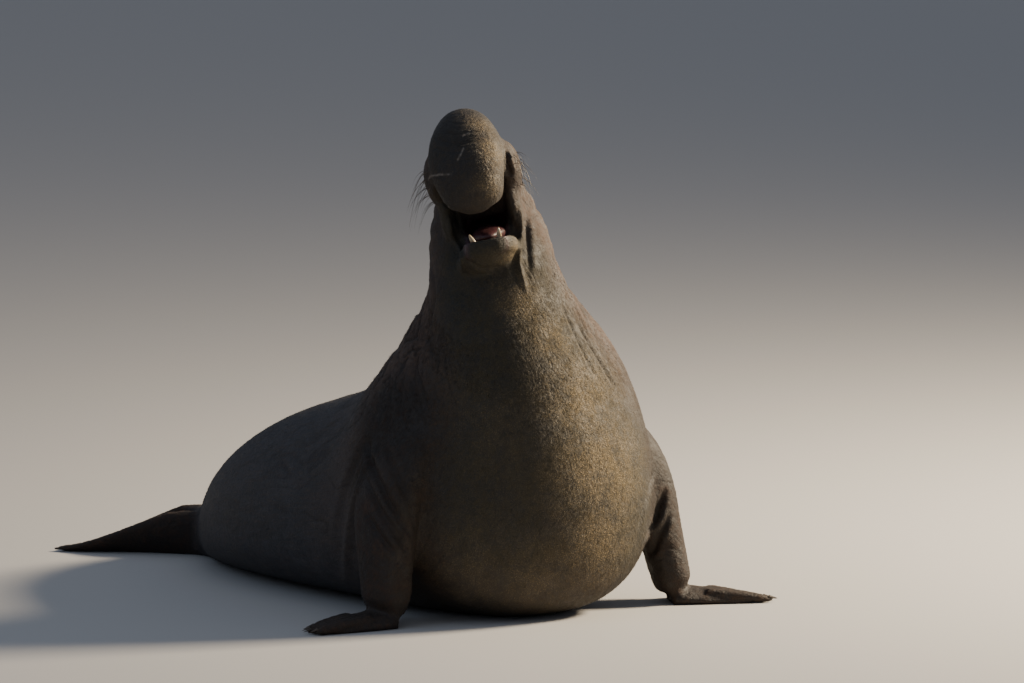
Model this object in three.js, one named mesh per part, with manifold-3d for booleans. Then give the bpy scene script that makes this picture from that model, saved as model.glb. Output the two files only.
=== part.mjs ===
// A bull northern elephant seal, life size, reared up on its foreflippers and roaring.
// Millimetres, +Z up. The seal lies along Y with its chest towards -Y and its right side towards -X,
// and the neck turns to the seal's right, so that the face looks past its right flipper.
import * as THREE from "three";
import { mergeVertices } from "three/addons/utils/BufferGeometryUtils.js";
import Module from "manifold-3d";

const wasm = await Module();
wasm.setup();

const V = (x, y, z) => new THREE.Vector3(x, y, z);
const { degToRad } = THREE.MathUtils;

// Driving sizes
const seam = 0.3; // gap between touching pieces
const sink = 12; // how far the body and flippers press below the floor before they are cut flat
const eyeRadius = 30;
const jawAside = 16; // the lower jaw swings a little to the seal's left of the nose
const headAt = V(-44, 108, 1380); // top of the neck, where the head's own frame stands
const headTurn = degToRad(-41); // the face turns to the seal's right
const headLean = degToRad(-12); // and leans over to the same side

// The head's own frame: forward is -Y and up is +Z, with its origin in the top of the neck.
const headFrame = new THREE.Matrix4()
  .makeRotationZ(headTurn)
  .multiply(new THREE.Matrix4().makeRotationY(headLean))
  .setPosition(headAt);
const inHead = (x, forward, up) => V(x, -forward, up);

// Pieces of flesh are lofts: a station is an ellipse-like ring with a centre and two half axes.
// low moves its widest level down, and round and sole are the powers of its upper and lower halves.
function station(centre, side, up, { low = 0, round = 2, sole = 2 } = {}) {
  return { centre, side, up, low, round, sole };
}

// A ring given by its outline in side view: the points on the back and on the belly, and half its width.
function girth(back, belly, half, { shift = 0, turn = 0, ...form } = {}) {
  const centre = back.clone().add(belly).multiplyScalar(0.5);
  const up = back.clone().sub(belly).multiplyScalar(0.5);
  const side = V(half, 0, 0);
  const spin = degToRad(turn);
  for (const axis of [side, up]) axis.applyAxisAngle(V(0, 0, 1), spin);
  centre.x += shift;
  return station(centre, side, up, form);
}

function moved(one, matrix) {
  const turn = new THREE.Matrix3().setFromMatrix4(matrix);
  return {
    ...one,
    centre: one.centre.clone().applyMatrix4(matrix),
    side: one.side.clone().applyMatrix3(turn),
    up: one.up.clone().applyMatrix3(turn),
  };
}

// Smooth rings between the stations, spaced by the distance from centre to centre.
function smooth(stations, count) {
  const times = [0];
  for (let i = 1; i < stations.length; i++) {
    const step = stations[i].centre.distanceTo(stations[i - 1].centre);
    times.push(times[i - 1] + step);
  }
  const pack = (s) => [...s.centre, ...s.side, ...s.up, s.low, s.round, s.sole];
  const values = stations.flatMap(pack);
  const size = values.length / stations.length;
  const cubic = new THREE.CubicInterpolant(times, values, size, new Float64Array(size));
  return Array.from({ length: count }, (_, i) => {
    const v = cubic.evaluate((times.at(-1) * i) / (count - 1));
    const [low, round, sole] = v.slice(9);
    const at = (k) => V(v[k], v[k + 1], v[k + 2]);
    return station(at(0), at(3), at(6), { low, round, sole });
  });
}

function ringPoints(ring, around, grow) {
  const side = ring.side.clone().setLength(ring.side.length() + grow);
  const up = ring.up.clone().setLength(ring.up.length() + grow);
  return Array.from({ length: around }, (_, i) => {
    const angle = (i / around) * 2 * Math.PI;
    const c = Math.cos(angle);
    const s = Math.sin(angle);
    const power = 2 / (s < 0 ? ring.sole : ring.round);
    const out = Math.sign(c) * Math.abs(c) ** power;
    const lift = Math.sign(s) * Math.abs(s) ** power;
    const level = ring.low + lift * (1 - Math.sign(s) * ring.low);
    return ring.centre.clone().addScaledVector(side, out).addScaledVector(up, level);
  });
}

// A closed surface over rings of equal count, with a point in the middle of each end.
function surface(rings) {
  const around = rings[0].length;
  const middle = (ring) => ring.reduce((sum, p) => sum.add(p), V(0, 0, 0)).divideScalar(around);
  const points = [...rings.flat(), middle(rings[0]), middle(rings.at(-1))];
  const first = points.length - 2;
  const last = points.length - 1;
  const tail = (rings.length - 1) * around;
  const faces = [];
  for (let i = 0; i < around; i++) {
    const j = (i + 1) % around;
    faces.push(first, j, i, last, tail + i, tail + j);
    for (let r = 0; r < tail; r += around) {
      faces.push(r + i, r + j, r + around + j, r + i, r + around + j, r + around + i);
    }
  }
  const flat = points.flatMap((p) => [p.x, p.y, p.z]);
  return new THREE.BufferGeometry()
    .setAttribute("position", new THREE.Float32BufferAttribute(flat, 3))
    .setIndex(faces);
}

// The solid of a closed geometry, turned inside out if its faces look inwards.
function solid(geometry, matrix = new THREE.Matrix4()) {
  const bare = geometry.clone().applyMatrix4(matrix);
  bare.deleteAttribute("normal");
  bare.deleteAttribute("uv");
  const merged = mergeVertices(bare, 1e-3);
  const triVerts = new Uint32Array(merged.index.array);
  const vertProperties = merged.attributes.position.array;
  const made = new wasm.Manifold(new wasm.Mesh({ numProp: 3, vertProperties, triVerts }));
  if (made.volume() > 0) return made;
  return new wasm.Manifold(new wasm.Mesh({ numProp: 3, vertProperties, triVerts: triVerts.reverse() }));
}

// A grown loft stands out from the plain one by the same amount all over, at its ends too.
function loft(stations, rings, around, grow = 0) {
  const smoothed = smooth(stations, rings);
  const ends = [
    [smoothed[0], smoothed[1]],
    [smoothed.at(-1), smoothed.at(-2)],
  ];
  for (const [end, inner] of ends) {
    const outward = end.centre.clone().sub(inner.centre).setLength(grow);
    end.centre.add(outward);
  }
  return solid(surface(smoothed.map((ring) => ringPoints(ring, around, grow))));
}

const union = (parts) => parts.reduce((sum, part) => sum.add(part));
const largest = (made) => made.decompose().reduce((a, b) => (b.volume() > a.volume() ? b : a));

// Keeps what lies beyond the plane through a point, in the direction of its normal, less half a seam.
function beyond(made, point, normal) {
  const n = normal.clone().normalize();
  return made.trimByPlane([n.x, n.y, n.z], n.dot(point) + seam / 2);
}

const floorCut = (made) => made.trimByPlane([0, 0, 1], 0);

// Body, neck and the core of the head: one skin from the ankles of the hind flippers to the snout
const bodyRound = { low: -0.16, round: 2.1, sole: 2.7 };
const chestRound = { low: -0.06, round: 2.1, sole: 2.3 };
const bodyStations = [
  girth(V(0, 2110, 170), V(0, 2130, -4), 72, { shift: -62, turn: 30, sole: 2.4 }),
  girth(V(0, 2040, 215), V(0, 2050, -sink), 92, { shift: -32, turn: 18, sole: 2.4 }),
  girth(V(0, 1945, 285), V(0, 1960, -sink), 150, { shift: -10, turn: 6, sole: 2.4 }),
  girth(V(0, 1800, 410), V(0, 1815, -sink), 255, bodyRound),
  girth(V(0, 1600, 545), V(0, 1610, -sink), 372, bodyRound),
  girth(V(0, 1330, 672), V(0, 1330, -sink), 475, bodyRound),
  girth(V(0, 1040, 765), V(0, 1000, -sink), 540, bodyRound),
  girth(V(0, 790, 838), V(0, 640, -sink), 572, bodyRound),
  girth(V(0, 610, 925), V(0, 290, -sink), 588, { ...bodyRound, turn: -2 }),
  girth(V(0, 490, 1040), V(0, -30, -sink), 600, { ...chestRound, turn: -5 }),
  girth(V(0, 425, 1150), V(0, -300, 50), 585, { ...chestRound, turn: -9 }),
  girth(V(0, 390, 1240), V(0, -410, 290), 530, { turn: -13, shift: -2 }),
  girth(V(0, 372, 1320), V(0, -410, 560), 446, { turn: -18, shift: -14 }),
  girth(V(0, 358, 1386), V(0, -365, 810), 344, { turn: -24, shift: -50 }),
  girth(V(0, 352, 1455), V(0, -285, 1030), 286, { turn: -31, shift: -74 }),
  girth(V(0, 352, 1520), V(0, -215, 1195), 254, { turn: -38, shift: -80 }),
];
const skullStations = [
  girth(inHead(-6, -255, 225), inHead(-6, 296, -72), 243),
  girth(inHead(-8, -232, 330), inHead(-8, 262, 22), 214),
  girth(inHead(0, -168, 402), inHead(0, 140, 175), 168),
  girth(inHead(0, -70, 448), inHead(0, 165, 290), 150),
  girth(inHead(0, 40, 474), inHead(0, 205, 372), 122),
  girth(inHead(0, 112, 478), inHead(0, 205, 425), 70),
].map((ring) => moved(ring, headFrame));
const core = (grow) => loft([...bodyStations, ...skullStations], 46, 32, grow);

// The proboscis arches from the brow over the snout and hangs before the open mouth.
const noseStations = [
  girth(inHead(-8, -185, 372), inHead(-8, -85, 300), 84),
  girth(inHead(-8, -150, 495), inHead(-8, -10, 335), 112),
  girth(inHead(-8, -40, 608), inHead(-8, 30, 360), 120),
  girth(inHead(-4, 95, 641), inHead(-4, 75, 370), 128),
  girth(inHead(-4, 245, 590), inHead(-4, 130, 362), 149, { round: 2.2 }),
  girth(inHead(-8, 352, 476), inHead(-8, 160, 348), 148, { round: 2.2 }),
  girth(inHead(-4, 390, 360), inHead(-4, 185, 314), 130, { round: 2.3 }),
  girth(inHead(0, 374, 266), inHead(0, 208, 280), 106, { round: 2.3 }),
  girth(inHead(0, 332, 236), inHead(0, 250, 250), 70),
].map((ring) => moved(ring, headFrame));
const nose = (grow) => loft(noseStations, 17, 20, grow);

// Mystacial pads: the whiskered swellings of the upper lip on both sides of the proboscis
const padStations = (sign) =>
  [
    { at: inHead(sign * 118, 20, 248), across: 34, along: 60 },
    { at: inHead(sign * 136, 75, 318), across: 46, along: 84 },
    { at: inHead(sign * 146, 132, 386), across: 48, along: 90 },
    { at: inHead(sign * 140, 178, 446), across: 38, along: 68 },
    { at: inHead(sign * 122, 205, 488), across: 14, along: 26 },
  ].map(({ at, across, along }) =>
    moved(station(at, V(across, 0, 0), V(0, along * 0.75, along * 0.66)), headFrame),
  );
const pad = (sign, grow) => loft(padStations(sign), 8, 12, grow);

// The lower jaw drops away from the snout, and the cheeks join the two behind the mouth.
const jawStations = [
  girth(inHead(jawAside, -40, 112), inHead(-40, 60, -150), 172),
  girth(inHead(jawAside, 60, 118), inHead(-40, 150, -100), 148),
  girth(inHead(jawAside, 160, 122), inHead(-36, 225, -42), 126),
  girth(inHead(jawAside, 255, 124), inHead(-28, 295, 14), 112),
  girth(inHead(jawAside, 330, 128), inHead(-10, 345, 54), 96, { round: 2.6 }),
  girth(inHead(jawAside, 375, 124), inHead(4, 378, 80), 62),
].map((ring) => moved(ring, headFrame));

// The lower lip: a tall roll on the rim of the jaw, from one corner of the mouth round the chin
const lip = { half: 100, behind: 225, ahead: 156, thick: 14, high: 33, level: 110, drop: 36, steps: 9 };
const lipAngles = { first: -42, last: 222 };
const lipStations = Array.from({ length: lip.steps }, (_, i) => {
  const share = i / (lip.steps - 1);
  const angle = degToRad(THREE.MathUtils.lerp(lipAngles.first, lipAngles.last, share));
  const aside = Math.sign(Math.cos(angle)) * Math.abs(Math.cos(angle)) ** 0.6;
  const ahead = Math.max(0, Math.sin(angle));
  const level = lip.level - lip.drop * (1 - ahead) ** 2;
  const centre = inHead(jawAside + lip.half * aside, lip.behind + lip.ahead * Math.sin(angle), level);
  const outward = V(Math.cos(angle), -ahead, 0).setLength(lip.thick);
  return moved(station(centre, outward, V(0, 0, lip.high)), headFrame);
});
const jaw = (grow) => union([loft(jawStations, 12, 20, grow), loft(lipStations, 17, 10, grow)]);

const cheekStations = (sign) =>
  [
    { at: inHead(sign * 128, 40, 90), thick: 40, long: 90 },
    { at: inHead(sign * 132, 90, 170), thick: 34, long: 85 },
    { at: inHead(sign * 132, 110, 260), thick: 32, long: 80 },
    { at: inHead(sign * 130, 110, 340), thick: 30, long: 70 },
  ].map(({ at, thick, long }) => moved(station(at, V(thick, 0, 0), V(0, long, 0)), headFrame));
const cheek = (sign, grow) => loft(cheekStations(sign), 6, 10, grow);

// The open mouth narrows to the throat between the palate and the floor of the jaw.
const mouthStations = [
  { forward: 20, up: 125, half: 42, gape: 22 },
  { forward: 90, up: 175, half: 82, gape: 52 },
  { forward: 170, up: 235, half: 102, gape: 88 },
  { forward: 260, up: 300, half: 106, gape: 132 },
  { forward: 400, up: 400, half: 112, gape: 200 },
].map(({ forward, up, half, gape }) => {
  const open = V(0, gape * 0.57, gape * 0.82);
  const centre = inHead(jawAside / 2, forward, up);
  return moved(station(centre, V(half, 0, 0), open, { round: 2.6, sole: 2.8 }), headFrame);
});
const mouth = (grow) => loft(mouthStations, 10, 20, grow);

// Foreflippers: the arm comes down from the shoulder to the wrist, and the hand lies out on the floor.
const arms = {
  left: {
    sign: 1,
    arm: [
      { at: V(420, 30, 810), thick: 72, wide: 180 },
      { at: V(530, -20, 650), thick: 108, wide: 190 },
      { at: V(580, -70, 480), thick: 112, wide: 172 },
      { at: V(600, -110, 330), thick: 98, wide: 148 },
      { at: V(618, -145, 200), thick: 86, wide: 128 },
      { at: V(630, -168, 95), thick: 78, wide: 118 },
    ],
    hand: [
      { at: V(628, -168, 60), thick: 72, wide: 116 },
      { at: V(705, -212, 46), thick: 58, wide: 112 },
      { at: V(800, -268, 32), thick: 42, wide: 104 },
      { at: V(900, -328, 20), thick: 28, wide: 90 },
    ],
    reach: V(0.86, -0.5, 0),
  },
  right: {
    sign: -1,
    arm: [
      { at: V(-400, 160, 800), thick: 70, wide: 170 },
      { at: V(-510, 125, 640), thick: 100, wide: 190 },
      { at: V(-585, 92, 480), thick: 108, wide: 178 },
      { at: V(-625, 60, 330), thick: 98, wide: 156 },
      { at: V(-642, 35, 200), thick: 88, wide: 134 },
      { at: V(-650, 20, 95), thick: 80, wide: 122 },
    ],
    hand: [
      { at: V(-650, 20, 60), thick: 72, wide: 118 },
      { at: V(-730, 24, 46), thick: 58, wide: 114 },
      { at: V(-830, 32, 32), thick: 42, wide: 106 },
      { at: V(-935, 42, 20), thick: 28, wide: 92 },
    ],
    reach: V(-0.99, 0.12, 0),
  },
};

function armStations({ arm, hand, reach }) {
  const across = V(-reach.y, reach.x, 0).normalize();
  const down = arm.map(({ at, thick, wide }) =>
    station(at, reach.clone().setLength(thick), across.clone().setLength(wide), { round: 2.2, sole: 2.2 }),
  );
  const wrist = hand[0];
  const heel = station(
    wrist.at.clone().setZ(wrist.thick - sink - 20),
    reach.clone().setLength(wrist.thick * 0.75),
    across.clone().setLength(wrist.wide * 0.8),
  );
  return [...down, heel];
}

const digits = [
  { spread: 0.86, length: 205, thick: 20 },
  { spread: 0.46, length: 212, thick: 17 },
  { spread: 0.06, length: 196, thick: 16 },
  { spread: -0.36, length: 168, thick: 15 },
  { spread: -0.78, length: 132, thick: 15 },
];

// The five digits of a hand start inside the palm and end at its claws. The first is the leading one.
function digitRays({ sign, hand, reach }) {
  const along = reach.clone().normalize();
  const lead = V(along.y, -along.x, 0).multiplyScalar(sign);
  const palm = hand.at(-2);
  return digits.map(({ spread, length, thick }) => {
    const root = palm.at.clone().addScaledVector(lead, spread * palm.wide * 0.82);
    const heading = along.clone().addScaledVector(lead, spread * 0.05).normalize();
    const tip = root.clone().addScaledVector(heading, length);
    root.z = palm.thick - 4;
    tip.z = thick * 0.62;
    return { root, tip, heading, lead, thick };
  });
}

function handSolid(side) {
  const { hand, reach, sign } = side;
  const across = V(-reach.y, reach.x, 0).normalize();
  const palm = hand.map(({ at, thick, wide }) =>
    station(
      V(at.x, at.y, thick * 0.5),
      across.clone().setLength(wide),
      V(0, 0, thick * 0.5 + sink * 0.5),
      { low: -0.3, round: 1.7, sole: 3 },
    ),
  );
  const rays = digitRays({ sign, hand, reach }).map(({ root, tip, lead, thick }) => {
    const bone = (share, scale) =>
      station(
        root.clone().lerp(tip, share),
        lead.clone().setLength(thick * 1.15 * scale),
        V(0, 0, thick * scale),
      );
    return loft([bone(-0.3, 0.8), bone(0.1, 1.05), bone(0.6, 0.95), bone(0.9, 0.75), bone(1, 0.4)], 6, 8);
  });
  const last = palm.at(-1);
  const edge = station(
    last.centre.clone().addScaledVector(reach.clone().normalize(), 45).setZ(9),
    last.side.clone().multiplyScalar(0.8),
    V(0, 0, 7),
  );
  return union([loft([...palm, edge], 8, 18), ...rays]);
}

// A claw is a cone at the tip of its digit. Grown, it is the room that the digit leaves for it.
function clawSolid({ tip, heading, thick }, grow = 0) {
  const aim = heading.clone().setZ(-0.25).normalize();
  const tilt = new THREE.Quaternion().setFromUnitVectors(V(0, 1, 0), aim);
  const cone = new THREE.ConeGeometry(thick * 0.42 + grow, 46 + 3 * grow, 7);
  const at = tip.clone().addScaledVector(heading, 4).setZ(thick * 0.95);
  return solid(cone, new THREE.Matrix4().compose(at, tilt, V(1, 1, 0.8)));
}

// Hind flippers: they trail to the seal's right, each with two long outer digits and a web between them.
const hindHeading = V(-0.63, 0.78, 0).normalize();
const hind = {
  right: { root: V(-95, 2060, 96), heading: hindHeading, roll: 68, length: 600 },
  left: { root: V(0, 2110, 108), heading: V(-0.52, 0.85, 0).normalize(), roll: 78, length: 540 },
};
const hindBlade = [
  { share: -0.1, wide: 104, thick: 54 },
  { share: 0.12, wide: 112, thick: 48 },
  { share: 0.35, wide: 98, thick: 34 },
  { share: 0.6, wide: 80, thick: 22 },
  { share: 0.82, wide: 64, thick: 14 },
  { share: 0.94, wide: 42, thick: 9 },
];

// The blade stands on its edge at the ankle and rolls down flat on the floor towards its tip.
function hindFrame({ root, heading, roll, length }, share, wide) {
  const level = V(-heading.y, heading.x, 0);
  const angle = degToRad(roll * (1 - Math.max(0, share)) ** 0.8);
  const side = level.clone().multiplyScalar(Math.cos(angle)).add(V(0, 0, Math.sin(angle)));
  const up = heading.clone().cross(side).normalize();
  const centre = root.clone().addScaledVector(heading, share * length);
  centre.z = Math.max(10, wide * Math.sin(angle) - sink);
  return { centre, side, up };
}

function hindSolid(flipper) {
  const blade = hindBlade.map(({ share, wide, thick }) => {
    const { centre, side, up } = hindFrame(flipper, share, wide);
    return station(centre, side.setLength(wide), up.setLength(thick));
  });
  const rays = [-0.86, -0.42, 0, 0.42, 0.86].map((spread) => {
    const reachShare = 0.86 + 0.14 * Math.abs(spread);
    const outer = Math.abs(spread) > 0.5;
    const bones = [0.08, 0.35, 0.6, 0.85, 1].map((part, i) => {
      const share = part * reachShare;
      const wide = 104 - 54 * share;
      const { centre, side, up } = hindFrame(flipper, share, wide);
      const size = (outer ? 24 : 17) * [1.3, 1.1, 0.9, 0.7, 0.35][i];
      centre.addScaledVector(side, spread * (wide - size * 0.6));
      return station(centre, side.setLength(size), up.setLength(size * 0.8));
    });
    return loft(bones, 6, 7);
  });
  return union([loft(blade, 9, 16), ...rays]);
}

const tailStations = [
  station(V(-20, 2040, 165), V(46, 0, 0), V(0, 14, 34)),
  station(V(-40, 2110, 172), V(40, 14, 0), V(0, 10, 22)),
  station(V(-62, 2165, 168), V(26, 14, 0), V(0, 8, 14)),
  station(V(-74, 2190, 164), V(10, 6, 0), V(0, 4, 6)),
];

// Planes that part the body where a person would name its parts
const napeNormal = V(0, -0.62, 0.78).transformDirection(headFrame);
const cuts = {
  rump: { point: V(0, 1560, 0), normal: V(0, -1, 0) },
  waist: { point: V(0, 760, 0), normal: V(0, -1, 0.25) },
  collar: { point: V(0, 0, 985), normal: V(0, -0.35, 1) },
  nape: { point: V(0, 0, 40).applyMatrix4(headFrame), normal: napeNormal },
};
const behind = (made, { point, normal }) => beyond(made, point, normal.clone().negate());
const ahead = (made, { point, normal }) => beyond(made, point, normal);

const wholeCore = floorCut(core(0));
const seat = core(seam);

const eyeInHead = (sign) => inHead(sign * 143, -62, 300);
const eyeAt = (sign) => eyeInHead(sign).applyMatrix4(headFrame);
const eyeShape = (sign, radius) =>
  solid(new THREE.SphereGeometry(radius, 14, 10), new THREE.Matrix4().setPosition(eyeAt(sign)));

// Lids: a ring of skin round each eye, open in front
function lids(sign) {
  const outward = V(sign * 0.9, -0.35, 0.25).normalize();
  const tilt = new THREE.Quaternion().setFromUnitVectors(V(0, 0, 1), outward);
  const at = eyeInHead(sign).addScaledVector(outward, eyeRadius * 0.45);
  const frame = new THREE.Matrix4().compose(at, tilt, V(1.12, 0.86, 1));
  return solid(new THREE.TorusGeometry(eyeRadius * 0.92, 12, 7, 14), headFrame.clone().multiply(frame));
}

// Nostrils: two holes that run up into the tip of the proboscis
function nostril(sign) {
  const bore = [
    { at: inHead(sign * 66, 300, 205), wide: 34 },
    { at: inHead(sign * 62, 296, 262), wide: 27 },
    { at: inHead(sign * 54, 288, 300), wide: 12 },
  ].map(({ at, wide }) => moved(station(at, V(wide * 0.8, 0, 0), V(0, wide, 0)), headFrame));
  return loft(bore, 5, 12);
}

// Teeth are cones that stand in pockets of the gum.
const teeth = {
  lower_canine_left: { at: inHead(jawAside + 50, 338, 122), lean: 0.12, out: 0.1, radius: 12, length: 54 },
  lower_canine_right: { at: inHead(jawAside - 50, 338, 122), lean: 0.12, out: -0.3, radius: 12, length: 50 },
  upper_canine_left: { at: inHead(58, 192, 378), lean: 0.75, out: 0.08, radius: 12, length: -50 },
  upper_canine_right: { at: inHead(-58, 192, 378), lean: 0.75, out: -0.08, radius: 12, length: -50 },
};
const toothProfile = [
  [0, -0.28],
  [0.9, -0.24],
  [1, 0.1],
  [0.86, 0.45],
  [0.55, 0.78],
  [0.22, 0.96],
  [0, 1],
];

function tooth({ at, lean, out, radius, length }, grow = 0) {
  const size = Math.abs(length);
  const profile = toothProfile.map(([r, z]) => {
    const stretch = r > 0 ? r * radius + grow : 0;
    return new THREE.Vector2(stretch, z * size + Math.sign(z) * grow);
  });
  const axis = V(out, -lean, 1).multiplyScalar(Math.sign(length)).normalize();
  const tilt = new THREE.Quaternion().setFromUnitVectors(V(0, 1, 0), axis);
  const frame = new THREE.Matrix4().compose(at, tilt, V(1, 1, 1));
  return solid(new THREE.LatheGeometry(profile, 8), headFrame.clone().multiply(frame));
}

// The tongue lies on the floor of the mouth.
const tongueStations = [
  { forward: 55, up: 108, half: 50, high: 34 },
  { forward: 125, up: 128, half: 70, high: 40 },
  { forward: 205, up: 136, half: 68, high: 32 },
  { forward: 270, up: 138, half: 48, high: 22 },
  { forward: 300, up: 138, half: 20, high: 10 },
].map(({ forward, up, half, high }) =>
  moved(station(inHead(jawAside, forward, up), V(half, 0, 0), V(0, 0, high), { round: 2.3 }), headFrame),
);

// Head, with its pads and lids, less the mouth, the eye sockets and the pockets of the upper teeth
const toothOf = Object.fromEntries(Object.entries(teeth).map(([name, one]) => [name, tooth(one)]));
const pocketOf = Object.fromEntries(Object.entries(teeth).map(([name, one]) => [name, tooth(one, seam)]));
const allPockets = union(Object.values(pocketOf));
const cheekPads = (grow) => [pad(1, grow), pad(-1, grow), cheek(1, grow), cheek(-1, grow)];
const skull = ahead(union([wholeCore, ...cheekPads(0), lids(1), lids(-1)]), cuts.nape);
const sockets = union([eyeShape(1, eyeRadius + seam), eyeShape(-1, eyeRadius + seam)]);
const gums = union([mouth(0), allPockets]);
const head = largest(skull.subtract(sockets).subtract(gums));
const headSeat = union([seat, ...cheekPads(seam)]);
const nostrils = union([nostril(1), nostril(-1)]);
const proboscis = largest(nose(0).subtract(headSeat).subtract(nostrils).subtract(allPockets));
const lowerJaw = largest(ahead(jaw(0), cuts.nape).subtract(headSeat).subtract(gums));
const tongueRoom = union([headSeat, jaw(seam)]).subtract(mouth(-seam));
const tongue = largest(loft(tongueStations, 8, 14).subtract(tongueRoom).subtract(allPockets));

// Limbs, cut where they meet the body
const armOf = {};
const handOf = {};
const clawOf = {};
for (const [name, side] of Object.entries(arms)) {
  const wristPoint = side.hand[0].at.clone().addScaledVector(side.reach, 40);
  const wristPlane = { point: wristPoint, normal: side.reach.clone() };
  const limb = union([loft(armStations(side), 13, 18), handSolid(side)]);
  const standing = floorCut(limb).subtract(seat);
  const rays = digitRays(side);
  const clawRoom = union(rays.map((ray) => clawSolid(ray, seam)));
  armOf[name] = largest(behind(standing, wristPlane));
  handOf[name] = largest(ahead(standing, wristPlane).subtract(clawRoom));
  rays.forEach((ray, i) => {
    clawOf[`claw_${name}_${i + 1}`] = floorCut(clawSolid(ray));
  });
}

const tailSeat = loft(tailStations, 7, 14, seam);
const rightFoot = largest(floorCut(hindSolid(hind.right)).subtract(seat).subtract(tailSeat));
const leftFoot = largest(floorCut(hindSolid(hind.left)).subtract(seat).subtract(tailSeat));
const tail = largest(loft(tailStations, 7, 14).subtract(seat));

// Materials
const paint = (color, roughness) => new THREE.MeshStandardMaterial({ color, roughness, metalness: 0 });
const hide = paint(0x6b5f57, 0.75);
const darkHide = paint(0x4a413b, 0.7);
const finHide = paint(0x4d443e, 0.7);
const gumPink = paint(0x8a4a48, 0.45);
const ivory = paint(0xcdbf9c, 0.4);
const horn = paint(0x2a2522, 0.45);
const wetEye = paint(0x120d0a, 0.08);

function mesh(name, made, material) {
  const { numProp, vertProperties, triVerts } = made.getMesh();
  const positions = new Float32Array((vertProperties.length / numProp) * 3);
  for (let i = 0; i < positions.length / 3; i++) {
    positions.set(vertProperties.subarray(i * numProp, i * numProp + 3), i * 3);
  }
  const geometry = new THREE.BufferGeometry()
    .setAttribute("position", new THREE.BufferAttribute(positions, 3))
    .setIndex(new THREE.BufferAttribute(triVerts, 1));
  const one = new THREE.Mesh(geometry, material);
  one.name = name;
  return one;
}

const seal = new THREE.Group();
seal.add(
  mesh("hindquarters", largest(behind(wholeCore, cuts.rump)), hide),
  mesh("abdomen", largest(behind(ahead(wholeCore, cuts.rump), cuts.waist)), hide),
  mesh("chest", largest(behind(ahead(wholeCore, cuts.waist), cuts.collar)), hide),
  mesh("neck", largest(behind(ahead(ahead(wholeCore, cuts.waist), cuts.collar), cuts.nape)), hide),
  mesh("head", head, hide),
  mesh("proboscis", proboscis, darkHide),
  mesh("lower_jaw", lowerJaw, hide),
  mesh("tongue", tongue, gumPink),
  mesh("tail", tail, darkHide),
  mesh("hind_flipper_right", rightFoot, finHide),
  mesh("hind_flipper_left", leftFoot, finHide),
);
for (const name of Object.keys(arms)) {
  seal.add(mesh(`arm_${name}`, armOf[name], darkHide), mesh(`foreflipper_${name}`, handOf[name], finHide));
}
for (const [name, claw] of Object.entries(clawOf)) seal.add(mesh(name, claw, horn));
for (const [name, one] of Object.entries(toothOf)) seal.add(mesh(name, one, ivory));
seal.add(mesh("eye_left", eyeShape(1, eyeRadius), wetEye));
seal.add(mesh("eye_right", eyeShape(-1, eyeRadius), wetEye));

// The origin is on the floor under the middle of the whole animal.
const box = new THREE.Box3().setFromObject(seal);
seal.position.set(-(box.min.x + box.max.x) / 2, -(box.min.y + box.max.y) / 2, -box.min.z);

export default seal;
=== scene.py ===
import itertools
import math

import bmesh
import bpy
import numpy as np
from mathutils import Matrix, Vector
from mathutils.bvhtree import BVHTree


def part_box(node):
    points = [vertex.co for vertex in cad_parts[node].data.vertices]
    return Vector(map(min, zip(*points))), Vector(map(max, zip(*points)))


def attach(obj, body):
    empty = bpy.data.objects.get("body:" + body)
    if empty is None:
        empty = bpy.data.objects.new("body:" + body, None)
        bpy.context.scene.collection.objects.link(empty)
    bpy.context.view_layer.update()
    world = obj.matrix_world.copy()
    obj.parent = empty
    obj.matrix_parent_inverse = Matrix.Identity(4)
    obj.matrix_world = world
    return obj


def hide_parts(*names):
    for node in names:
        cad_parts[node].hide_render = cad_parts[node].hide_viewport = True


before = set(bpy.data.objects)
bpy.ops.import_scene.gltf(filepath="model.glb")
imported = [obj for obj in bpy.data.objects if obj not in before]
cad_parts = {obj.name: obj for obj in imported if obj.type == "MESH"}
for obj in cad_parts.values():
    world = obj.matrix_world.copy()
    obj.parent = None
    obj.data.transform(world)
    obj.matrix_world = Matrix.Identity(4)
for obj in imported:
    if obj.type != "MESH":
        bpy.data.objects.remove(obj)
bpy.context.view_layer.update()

# A bull northern elephant seal, reared up and roaring. Metres, +Z up, chest towards -Y.

print("seal: frame loaded")

# The head has a frame of its own: x to its left, -y forwards, z up through the crown.
pose = {
    "headTurn": -41,
    "headLean": -12,
    "eyesInHead": (0, 0.062, 0.300),
    "headAt": (-0.044, 0.108, 1.380),
}


def nodeMiddle(name):
    low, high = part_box(name)
    return (low + high) / 2


headRotation = Matrix.Rotation(math.radians(pose["headTurn"]), 3, "Z")
headRotation = headRotation @ Matrix.Rotation(math.radians(pose["headLean"]), 3, "Y")
eyesMiddle = (nodeMiddle("eye_left") + nodeMiddle("eye_right")) / 2
headAt = eyesMiddle - headRotation @ Vector(pose["eyesInHead"])
bodyShift = headAt - Vector(pose["headAt"])


def fromHead(x, forward, up):
    return headAt + headRotation @ Vector((x, -forward, up))


def toHead(points):
    return (points - np.array(headAt)) @ np.array(headRotation)


def onBody(x, y, z):
    return Vector((x, y, z)) + bodyShift


# Camera, set so that the seal's chest and flippers fall where the photograph has them
view = {
    "azimuth": -38,
    "elevation": 7,
    "distance": 40,
    "pixelsPerMetre": 252,
    "originPixel": (520, 611),
    "imageSize": (1024, 683),
    "sensor": 36,
}


def directionOf(azimuth, elevation):
    # the way from the seal towards the camera or a lamp
    turn = math.radians(azimuth)
    rise = math.radians(elevation)
    return Vector((math.sin(turn) * math.cos(rise), -math.cos(turn) * math.cos(rise), math.sin(rise)))


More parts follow.
